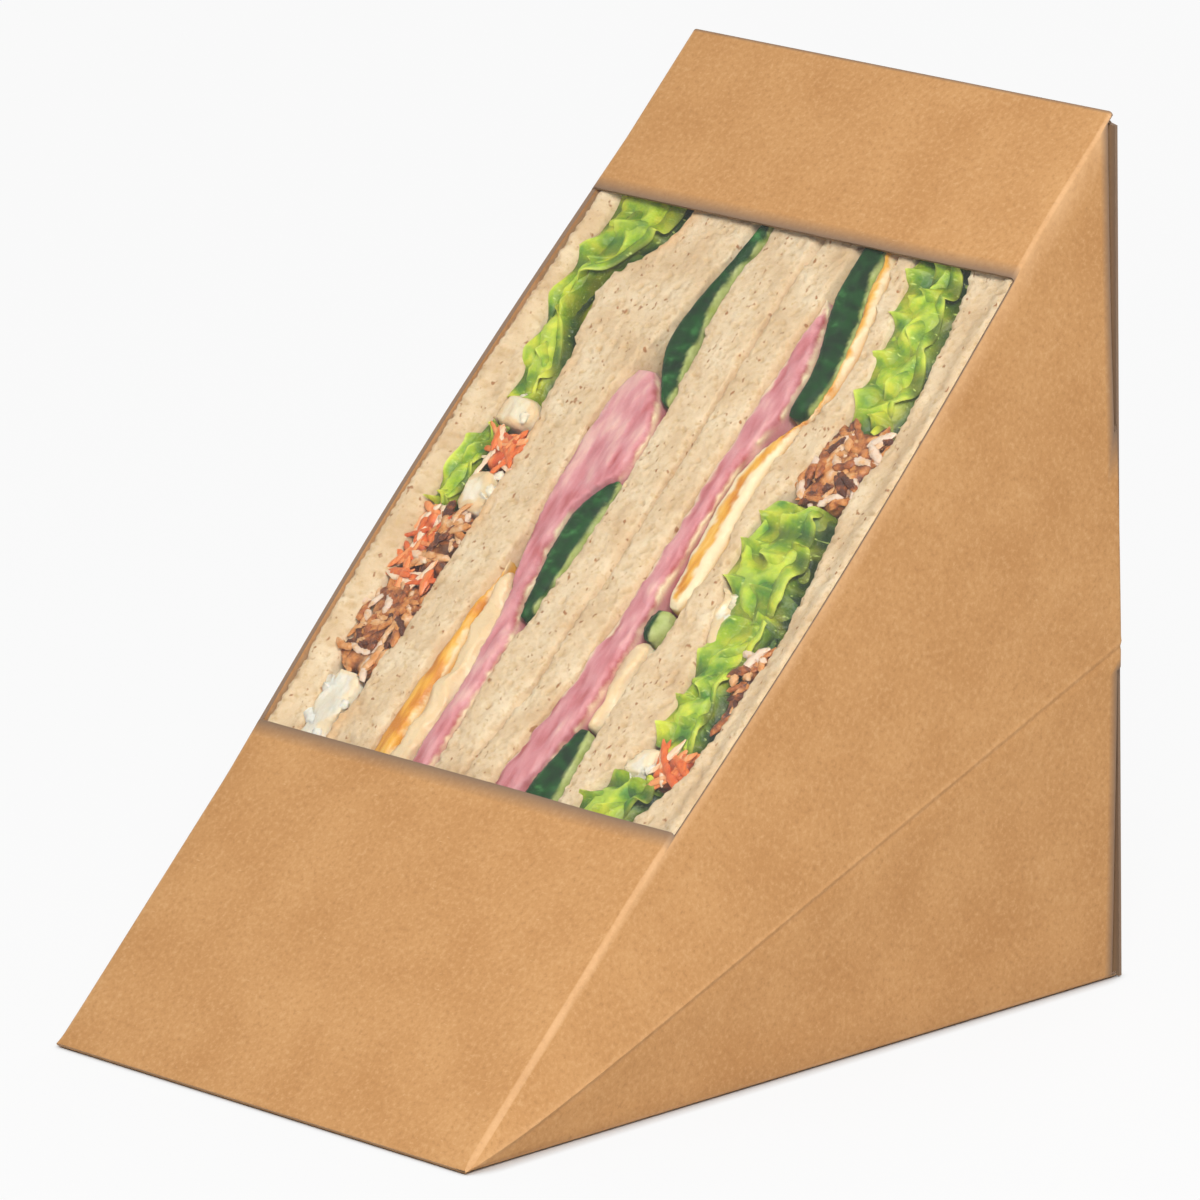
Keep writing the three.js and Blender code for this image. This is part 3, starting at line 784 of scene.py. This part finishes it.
# Food: each piece starts from its solid in the frame, meshed finely where it shows

OUTWARD = np.array([0, -SIN, COS])
# Depths under the slope's plane: where the solids are cut, and where the film stops the food
CUT_FACE = 2.15
FILM_CLEAR = 0.72
# How far the soft cut faces swell out towards the film
RAISE = 0.45


def refined(node, voxel, fine_cuts, show_depth=1.6):
    """The node's mesh, remeshed evenly, with its faces on the cut face divided further."""
    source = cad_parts[node]
    copy = added("working", source.data.copy())
    remesh = copy.modifiers.new("Remesh", "REMESH")
    remesh.mode = "VOXEL"
    remesh.voxel_size = voxel * MM
    graph = bpy.context.evaluated_depsgraph_get()
    mesh = bpy.data.meshes.new_from_object(copy.evaluated_get(graph))
    bpy.data.objects.remove(copy)
    built = bmesh.new()
    built.from_mesh(mesh)
    limit = (CUT_FACE + show_depth) * MM

    def shows(face):
        centre = face.calc_center_median()
        return (centre[1] - FRONT * MM) * SIN - centre[2] * COS < limit

    edges = list({edge for face in built.faces if shows(face) for edge in face.edges})
    bmesh.ops.subdivide_edges(built, edges=edges, cuts=fine_cuts, use_grid_fill=True)
    bmesh.ops.triangulate(built, faces=[face for face in built.faces if len(face.verts) > 4])
    every_axis = {"use_axis_x": True, "use_axis_y": True, "use_axis_z": True}
    bmesh.ops.smooth_vert(built, verts=built.verts, factor=0.5, **every_axis)
    built.to_mesh(mesh)
    built.free()
    mesh.name = node
    return mesh


def points_of(mesh):
    flat = np.zeros(len(mesh.vertices) * 3)
    mesh.vertices.foreach_get("co", flat)
    return flat.reshape(-1, 3) / MM


def move_points(mesh, points):
    mesh.vertices.foreach_set("co", (points * MM).reshape(-1))
    mesh.update()


def smoothed(values):
    """Each value averaged with its two neighbours on both sides."""
    return np.convolve(np.pad(values, 2, mode="edge"), np.ones(5) / 5, mode="valid")


class Piece:
    """A food piece's refined mesh, with each point's place on it."""

    def __init__(self, node, voxel, fine_cuts, show_depth=1.6):
        self.node = node
        self.mesh = refined(node, voxel, fine_cuts, show_depth)
        self.points = points_of(self.mesh)
        self.way, self.depth = slope_places(self.points)
        self.low, self.high = self.points.min(0), self.points.max(0)
        near = np.abs(self.depth - CUT_FACE) < 1.2
        self.start, self.end = self.way[near].min(), self.way[near].max()
        step = 0.8
        self.bins = np.arange(self.start, self.end + step, step)
        place = np.clip(np.digitize(self.way[near], self.bins) - 1, 0, len(self.bins) - 1)
        left = np.full(len(self.bins), np.inf)
        right = np.full(len(self.bins), -np.inf)
        np.minimum.at(left, place, self.points[near, 0])
        np.maximum.at(right, place, self.points[near, 0])
        known = np.isfinite(left)
        self.left_at = smoothed(np.interp(self.bins, self.bins[known], left[known]))
        self.right_at = smoothed(np.interp(self.bins, self.bins[known], right[known]))
        left, right = self.borders(self.way)
        self.width = np.maximum(right - left, 0.3)
        self.across = np.clip((self.points[:, 0] - left) / self.width, 0, 1)
        ends = np.minimum(self.way - self.start, self.end - self.way)
        self.from_left = self.across * self.width
        self.from_right = (1 - self.across) * self.width
        to_side = np.minimum(self.from_left, self.from_right)
        self.from_edge = np.minimum(to_side, np.maximum(ends, 0))
        self.cut_area = float(np.sum(self.right_at - self.left_at)) * step

    def borders(self, way):
        """Left and right border of the cut face at places up the slope."""
        return np.interp(way, self.bins, self.left_at), np.interp(way, self.bins, self.right_at)

    def raised(self, out):
        """The points, moved out of the slope by their own amounts."""
        return self.points + out[:, None] * OUTWARD

    def on_cut(self, low, high):
        """1 on the cut face, falling to 0 deeper in."""
        return 1 - smoothstep(low, high, self.depth - CUT_FACE)

    def finish(self, slot, moved, values, extra=()):
        """Make the visible piece from its moved points, kept clear of the film, and loose parts."""
        name = "food_" + self.node
        if slot == "bread":
            name = self.node.replace("bread_slice", "crumb_slice")
        depth = slope_places(moved)[1]
        moved = moved - np.maximum(FILM_CLEAR - depth, 0)[:, None] * OUTWARD
        move_points(self.mesh, moved)
        for key, value in values.items():
            set_values(self.mesh, key, value)
        mesh = self.mesh
        if extra:
            body_faces = [list(face.vertices) for face in mesh.polygons]
            mesh = mesh_of(name, [(moved, body_faces, values), *extra])
        finish_piece(name, mesh, slot, "pack", [self.node])


def build_slice(node, seed):
    """A slice of bread: an open crumb on the cut face, a thin crust on the rear and the floor."""
    outer_side = -1 if "left_outer" in node else 1 if "right_outer" in node else 0
    piece = Piece(node, 1, 2) if outer_side else Piece(node, 1.3, 3)
    points = piece.points
    on_cut = piece.on_cut(0.2, 1.1)
    # Pits of two sizes: the spacing of each, its radius as a share of that, and its depth
    large_spacing, large_radius, large_depth = 2.1, 0.36, 0.4
    small_spacing, small_radius, small_depth = 0.95, 0.42, 0.28
    large = cell_distance(points + 0.5 * noise(points, 1.5, seed)[:, None], large_spacing, seed)
    small = cell_distance(points, small_spacing, seed + 7)
    pits = np.maximum(1 - large / large_radius, 0) * large_depth
    pits += np.maximum(1 - small / small_radius, 0) * small_depth
    swell = 0.2 * noise(points, 7, seed + 1) + 0.14 * noise(points, 1.6, seed + 2)
    to_rear = piece.high[1] - points[:, 1]
    to_floor = points[:, 2] - piece.low[2]
    crust = 1 - smoothstep(0.4, 1.1, np.minimum(to_rear, to_floor))
    out = on_cut * (swell - pits + RAISE)
    reach = np.zeros(len(points))
    # An outer slice is pressed against its side panel
    if outer_side:
        left, right = piece.borders(piece.way)
        edge = left if outer_side < 0 else right
        border = smoothstep(3.2, 0.4, np.abs(points[:, 0] - edge)) * piece.on_cut(0.9, 3)
        out += 1.1 * border
        wall = outer_side * (HALF_WIDTH + fold_bow(piece.way) - BOARD - 0.22)
        reach = border * (wall - edge)
    moved = piece.raised(out)
    sideways = 0.18 * noise(points, 2.2, seed + 3) * (0.3 + 0.7 * on_cut)
    middle = (piece.low[0] + piece.high[0]) / 2
    inner = (np.abs(points[:, 0] - middle) > 1) & (np.abs(points[:, 0]) < HALF_WIDTH - 3)
    moved[:, 0] += sideways * inner + reach
    smear = np.zeros(len(points))
    if "left_middle" in node:
        patches = smoothstep(-0.1, 0.6, noise(points, 7, seed + 5))
        smear = 0.75 * patches * smoothstep(4, 0.5, piece.from_left)
    # The pits carry painted shade, darker where the crumb is pitted deepest
    values = {"pit_shade": np.clip(pits * 1.7, 0, 1) * on_cut, "crust": crust, "smear": smear * on_cut}
    piece.finish("bread", moved, values)


DOLLOP = {"length": 3.4, "radius": 1.05, "straight": 0.2, "tones": (0.4, 0.6, 0.8)}


def build_smooth_food(node, slot, seed):
    """Ham, cheese, egg, mayonnaise: soft folds, with ragged creamy borders."""
    piece = Piece(node, 1.1, 2) if slot == "ham" else Piece(node, 0.8, 1)
    points = piece.points
    on_cut = piece.on_cut(0.2, 1.4)
    layers = noise(points * (3, 1, 1), 3, seed + 1)
    pale_edge = 0.32 * piece.width if node == "cheese_right" else 0.3
    edge_width, tearing, raise_by, lumps, round_off, sway = {
        "ham": (0.25, 0.3, 0.15, 0.25, 0.5, 0.35),
        "cheese": (pale_edge, 0.55, 0.105, 0.2, 0.5, 0.35),
        "mayonnaise": (1.1, 1, -0.06, 0.75, 0.1, 0.8),
        "egg": (0.9, 1, -0.06, 0.75, 0.1, 0.8),
    }[slot]
    out = on_cut * (RAISE + raise_by + lumps * noise(points, 3.2, seed) + 0.2 * layers)
    out -= on_cut * round_off * smoothstep(0.9, 0.1, piece.from_edge)
    moved = piece.raised(out)
    moved[:, 0] += on_cut * (sway * noise(points, 2.6, seed + 2) + 0.15 * noise(points, 1, seed + 6))
    tear = 0.7 * noise(points, 1.7, seed + 3) + 0.3 * noise(points, 0.8, seed + 5)
    ragged = piece.from_edge + tear * tearing
    rim = smoothstep(edge_width + 0.15, edge_width - 0.25, ragged)
    if slot == "mayonnaise" and "middle" in node:
        rim = np.maximum(rim, 0.85)
    tone = 0.5 + 0.3 * layers + 0.2 * noise(points, 6, seed + 4)
    if slot == "ham":
        tone -= 0.4 * smoothstep(0.8, 0.1, piece.from_right) * on_cut
    if node == "ham_right":
        rim = np.maximum(rim, 0.85 * smoothstep(1.2, 0.6, piece.from_left + 0.8 * tear))
    values = {"rim": rim * on_cut, "tone": tone, "shade": 0}
    dollops = []
    if slot in ("mayonnaise", "egg") and "middle" not in node:
        rng = np.random.default_rng(seed)
        count = max(int(piece.cut_area * 0.1), 2)
        dollops = [shred(rng, piece, **DOLLOP) for _ in range(count)]
    piece.finish(slot, moved, values, dollops)


def build_cucumber(node, seed):
    """Cucumber: dark waxy skin over the rim that shows, and pale flesh at its borders."""
    piece = Piece(node, 0.7, 1)
    points = piece.points
    on_cut = piece.on_cut(0.3, 1.6)
    round_off = 0.7 * smoothstep(1.6, 0, piece.from_edge)
    out = on_cut * (RAISE + 0.3 - round_off + 0.15 * noise(points, 5, seed))
    moved = piece.raised(out)
    ragged = piece.from_right + 0.3 * noise(points, 2.4, seed + 3)
    pale = 1.5 if node == "cucumber_right_middle" else 0.4
    inside = smoothstep(1, 2, piece.depth - CUT_FACE)
    flesh = np.maximum(0.75 * smoothstep(pale, pale - 0.3, ragged), inside)
    piece.finish("cucumber", moved, {"rim": flesh})


def shred(rng, piece, length, radius, straight, tones):
    """One torn or cut shred lying across the cut face: a rough tube of rings.

    straight is 1 for a straight one and less for one that curls and twists."""
    way = rng.uniform(piece.start + 0.6, piece.end - 0.6)
    left, right = piece.borders(np.array([way]))
    x = rng.uniform(left[0] - 0.3, right[0] + 0.3)
    depth = CUT_FACE - 0.35 + rng.uniform(0, 1.1)
    turn = rng.uniform(0, math.pi)
    tilt = rng.uniform(-0.18, 0.18)
    length = length * rng.uniform(0.6, 1.2)
    radius = radius * rng.uniform(0.7, 1.2)
    curve = rng.uniform(-1, 1) * (1 - straight) / length
    rings, sides = 8, 7
    t = np.linspace(-0.5, 0.5, rings)
    heading = turn + curve * t * length * 2
    step = length / (rings - 1)
    walk_x = np.cumsum(np.cos(heading)) * step
    walk_s = np.cumsum(np.sin(heading)) * step
    walk_x += x - walk_x.mean()
    walk_s += way - walk_s.mean()
    taper = np.sqrt(np.clip(1 - (2 * t) ** 4, 0.06, 1)) * (1 + 0.25 * rng.uniform(-1, 1, rings))
    angle = 2 * math.pi * np.arange(sides) / sides + 0.6 * np.arange(rings)[:, None] * (1 - straight)
    wide = radius * taper[:, None]
    flat, tall = np.cos(angle) * wide, np.sin(angle) * wide * 0.75
    ring_x = walk_x[:, None] - np.sin(heading)[:, None] * flat
    ring_way = walk_s[:, None] + np.cos(heading)[:, None] * flat
    ring_depth = np.maximum(depth + tilt * t[:, None] * length - tall, CUT_FACE - 1.1)
    points = from_slope(ring_x, ring_way, ring_depth).reshape(-1, 3)
    faces = [list(range(sides))[::-1], list(range((rings - 1) * sides, rings * sides))]
    for k in range(rings - 1):
        for side in range(sides):
            beside = (side + 1) % sides
            a, b = k * sides, (k + 1) * sides
            faces.append([a + side, a + beside, b + beside, b + side])
    tone = rng.choice(tones) + rng.uniform(-0.08, 0.08)
    return points, faces, {"tone": tone, "rim": 0, "shade": 0}


# Lengths and radii in millimetres; share is the number of shreds on a square millimetre
SHREDS = {
    "chicken": {
        "length": 5, "radius": 0.62, "straight": 0.2,
        "tones": (0.12, 0.3, 0.4, 0.5, 0.6, 0.85), "share": 0.65,
    },
    "carrot": {
        "length": 6, "radius": 0.55, "straight": 0.7,
        "tones": (0.35, 0.5, 0.7, 0.95), "share": 0.6,
    },
}


def build_shreds(node, slot, seed, share, **shape):
    """Torn chicken or cut carrot: an uneven bed, painted darker in its hollows as shade, with shreds
    lying on it.
    """
    piece = Piece(node, 0.9, 1, 4)
    points = piece.points
    on_cut = piece.on_cut(0.5, 4)
    lumps = cell_distance(points + 0.8 * noise(points, 2, seed)[:, None], 2.4, seed)
    out = on_cut * (0.8 * (0.5 - lumps) + 0.1)
    out -= on_cut * 0.6 * smoothstep(1, 0, piece.from_edge)
    moved = piece.raised(out)
    moved[:, 0] += 0.6 * noise(points, 2.4, seed + 2) * on_cut
    # Painted shade: tone falls and shade rises in the hollows between the lumps
    tone = np.clip(0.75 - lumps * 0.8 + 0.3 * noise(points, 2, seed + 3), 0, 1)
    shade = 0.85 * np.clip((lumps - 0.4) * 3, 0, 1) * on_cut
    values = {"tone": tone, "rim": 0, "shade": shade}
    rng = np.random.default_rng(seed)
    count = max(int(piece.cut_area * share), 3)
    shreds = [shred(rng, piece, **shape) for _ in range(count)]
    piece.finish(slot, moved, values, shreds)


def ruffle(rng, piece, seed, root_share, lap, to_right=False):
    """A leaf that comes up out of the layer and lies over to one side in a wavy frill.

    root_share is where it comes up, from left to right, and lap how far its rim lies over."""
    step, overhang, film_side, wave_height = 0.22, 0.4, 0.98, 0.95
    start, end = piece.start - overhang, piece.end + overhang
    along = np.linspace(start, end, max(int((end - start) / step), 12))[:, None]
    left, right = piece.borders(along)
    wave_length = rng.uniform(6, 9)
    none = np.zeros_like(along)
    wander = noise(np.stack([along, none + seed, none], -1), 7, seed)
    phase = 2 * math.pi * along / wave_length + 2.6 * wander + rng.uniform(0, 6)
    scallop = 0.6 * np.sin(phase * 0.5) + 1.2 * noise(np.stack([along, none, none + 9], -1), 4, seed + 1)
    rim_x = (right + lap * 0.4 + 0.6 * scallop) if to_right else (left - lap + 0.8 * scallop)
    root_x = left + (right - left) * root_share
    # v runs from the leaf's root to its rim
    v = np.linspace(0, 1, 13)
    grow = v**1.3
    second = 0.35 * np.sin(2.1 * phase + 4 * v + seed)
    lift = wave_height * grow * np.sin(phase + 1.1 * v) + 0.6 * second * v
    bed = CUT_FACE + 0.2 + 3.2 * (1 - v) ** 2.2 - 0.35 * np.sin(math.pi * v)
    depth = np.maximum(bed - 0.35 - lift, film_side)
    way = along + 0.85 * grow * np.cos(phase + 1.1 * v) + 0.2 * second
    x = root_x + (rim_x - root_x) * v**0.85
    outer = from_slope(x, way, depth)
    inner = from_slope(x + 0.05, way, depth + 0.34 - 0.12 * v)
    # Painted shade towards the buried root and in the troughs; rim is a paler leaf margin plus a painted
    # highlight on the crests
    shade = np.clip(0.8 - v, 0, 1) + np.clip(-lift * 0.9, 0, 0.75)
    rim = smoothstep(0.82, 1, v) * 0.6 + np.clip(lift * 0.4, 0, 0.4)
    values = {"shade": np.clip(shade, 0, 0.9), "rim": np.clip(rim, 0, 1)}
    return thick_sheet(outer, inner, values)


def build_lettuce(node, seed):
    """Lettuce: a folded body that fills the piece, with frilled leaves lying over it."""
    piece = Piece(node, 1, 2, 3)
    points = piece.points
    on_cut = piece.on_cut(0.5, 5)
    bends = [noise(points, 4, seed + axis) for axis in range(3)]
    folded = points + 1.5 * np.stack(bends, 1)
    ridges = 1 - np.abs(noise(folded, 4.2, seed + 3)) * 2
    # A deep gap along the right border, with painted shade in it
    gap = smoothstep(0.62, 0.88, piece.across)
    out = on_cut * (0.8 * ridges - 0.5 - 1.8 * gap)
    moved = piece.raised(out)
    moved[:, 0] += 0.6 * noise(points, 3, seed + 4) * on_cut
    # Painted shade in the valleys between ridges and in the gap, and a painted highlight on the ridge
    # tops through rim
    shade = np.clip(0.35 - ridges * 0.6, 0, 0.7) + 0.85 * gap * on_cut
    values = {"shade": np.clip(shade, 0, 0.97), "rim": np.clip(ridges - 0.5, 0, 0.4)}
    rng = np.random.default_rng(seed)
    width = float(np.median(piece.right_at - piece.left_at))
    wide_piece = 4
    leaves = [
        ruffle(rng, piece, seed + 31, 0.55, 0.8),
        ruffle(rng, piece, seed + 32, 0.9, -0.35 * width),
    ]
    if width > wide_piece:
        leaves.append(ruffle(rng, piece, seed + 33, 0.35, -0.45 * width, to_right=True))
    piece.finish("lettuce", moved, values, leaves)


# Stage: floor, lights and camera

def background_rays(tree):
    """1 for the rays that show the background: seen directly, in a reflection or through a film."""
    rays = new_node(tree, "LightPath", {}).outputs
    seen = maths(tree, "MAXIMUM", rays["Is Camera Ray"], rays["Is Glossy Ray"])
    return maths(tree, "MAXIMUM", seen, rays["Is Transmission Ray"])


def mix_shaders(tree, share, first, second, output):
    """The first shader where share is 0, the second where it is 1."""
    mix = new_node(tree, "MixShader", {"Fac": share})
    feed(tree, mix.inputs[1], first.outputs[0])
    feed(tree, mix.inputs[2], second.outputs[0])
    feed(tree, output.inputs["Surface"], mix.outputs[0])


def build_floor():
    """A wide grey floor that looks white to the camera and keeps the pack's shadow."""
    size, level, grey, white_share = 3.0, -0.2 * MM, 0.62, 0.9
    mesh = bpy.data.meshes.new("floor")
    corners = [(-size, -size, level), (size, -size, level), (size, size, level), (-size, size, level)]
    mesh.from_pydata(corners, [], [(0, 1, 2, 3)])
    floor = added("floor", mesh)
    look = Look("floor", roughness=0.9, specular=0)
    look.shader.inputs["Base Color"].default_value = (grey, grey, grey, 1)
    glow = look.node("Emission", Strength=1)
    # White in the open, with a painted contact shadow from ambient occlusion where the pack nearly
    # touches it
    open_air = look.node("AmbientOcclusion", Distance=2.5 * MM)
    clear = look.window(open_air.outputs["AO"], 0.3, 0.9)
    white = maths(look.tree, "MULTIPLY", background_rays(look.tree), white_share)
    share = maths(look.tree, "MULTIPLY", white, clear)
    mix_shaders(look.tree, share, look.shader, glow, look.tree.nodes["Material Output"])
    mesh.materials.append(look.material)


def build_world():
    """Plain soft light from all round, with a white background behind it."""
    world = bpy.data.worlds.new("studio")
    bpy.context.scene.world = world
    world.use_nodes = True
    tree = world.node_tree
    tree.nodes.clear()
    light, white = (
        new_node(tree, "Background", {"Color": (1, 1, 1, 1), "Strength": strength})
        for strength in (0.35, 1)
    )
    output = new_node(tree, "OutputWorld", {})
    mix_shaders(tree, background_rays(tree), light, white, output)


def standing(right, up, back, place):
    """The matrix of something that stands at a place and looks away from back."""
    turned = np.array([right, up, back]).T
    return Matrix([[*row, position] for row, position in zip(turned, place)] + [[0, 0, 0, 1]])


def add_light(name, place, size, power):
    """A square lamp that faces the pack's middle."""
    light = bpy.data.lights.new(name, "AREA")
    light.size = size
    light.energy = power
    lamp = added(name, light)
    pack_middle = np.array([0, 0, 0.06])
    back = np.array(place) - pack_middle
    back = back / np.linalg.norm(back)
    right = np.cross([0, 0, 1], back)
    right = right / np.linalg.norm(right)
    up = np.cross(back, right)
    lamp.matrix_world = standing(right, up, back, place)


def build_camera():
    """The photograph's view: its angles, distance and centre, as fitted to the pack's corners."""
    azimuth = math.radians(46.93)
    elevation = math.radians(14.87)
    roll = math.radians(-1.01)
    distance = 1442.9
    centre_right, centre_up = 46.4, 68.4
    focal_pixels, frame_pixels, sensor = 10748, 1200, 36
    level = math.cos(elevation)
    back = np.array([math.sin(azimuth) * level, -math.cos(azimuth) * level, math.sin(elevation)])
    right = np.array([math.cos(azimuth), math.sin(azimuth), 0])
    up = np.cross(back, right)
    c, s = math.cos(roll), math.sin(roll)
    rolled_right, rolled_up = c * right + s * up, -s * right + c * up
    place = rolled_right * centre_right + rolled_up * centre_up + back * distance
    place[1] += FRONT
    data = bpy.data.cameras.new("camera")
    data.sensor_width = sensor
    data.lens = focal_pixels / frame_pixels * sensor
    data.clip_end = 20
    camera = added("camera", data)
    camera.matrix_world = standing(rolled_right, rolled_up, back, place * MM)
    bpy.context.scene.camera = camera


build_camera()
build_world()
add_light("key", place=(0.57, -0.44, 0.57), size=0.26, power=6.6)
add_light("fill", place=(-0.4, -1.2, 1.2), size=1.1, power=2.5)
add_light("back", place=(-0.5, 1.4, 1.2), size=1.0, power=11)
build_floor()
build_carton()
build_lid()
build_film()
for number, node in enumerate(sorted(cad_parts)):
    seed = 10 * number
    kind = node.split("_")[0]
    if kind == "bread":
        build_slice(node, seed)
    elif kind == "lettuce":
        build_lettuce(node, seed)
    elif kind == "cucumber":
        build_cucumber(node, seed)
    elif kind in SHREDS:
        build_shreds(node, kind, seed, **SHREDS[kind])
    elif kind in ("ham", "cheese", "mayonnaise", "egg"):
        build_smooth_food(node, kind, seed)

scene = bpy.context.scene
scene.view_settings.view_transform = "Standard"

bpy.context.view_layer.update()
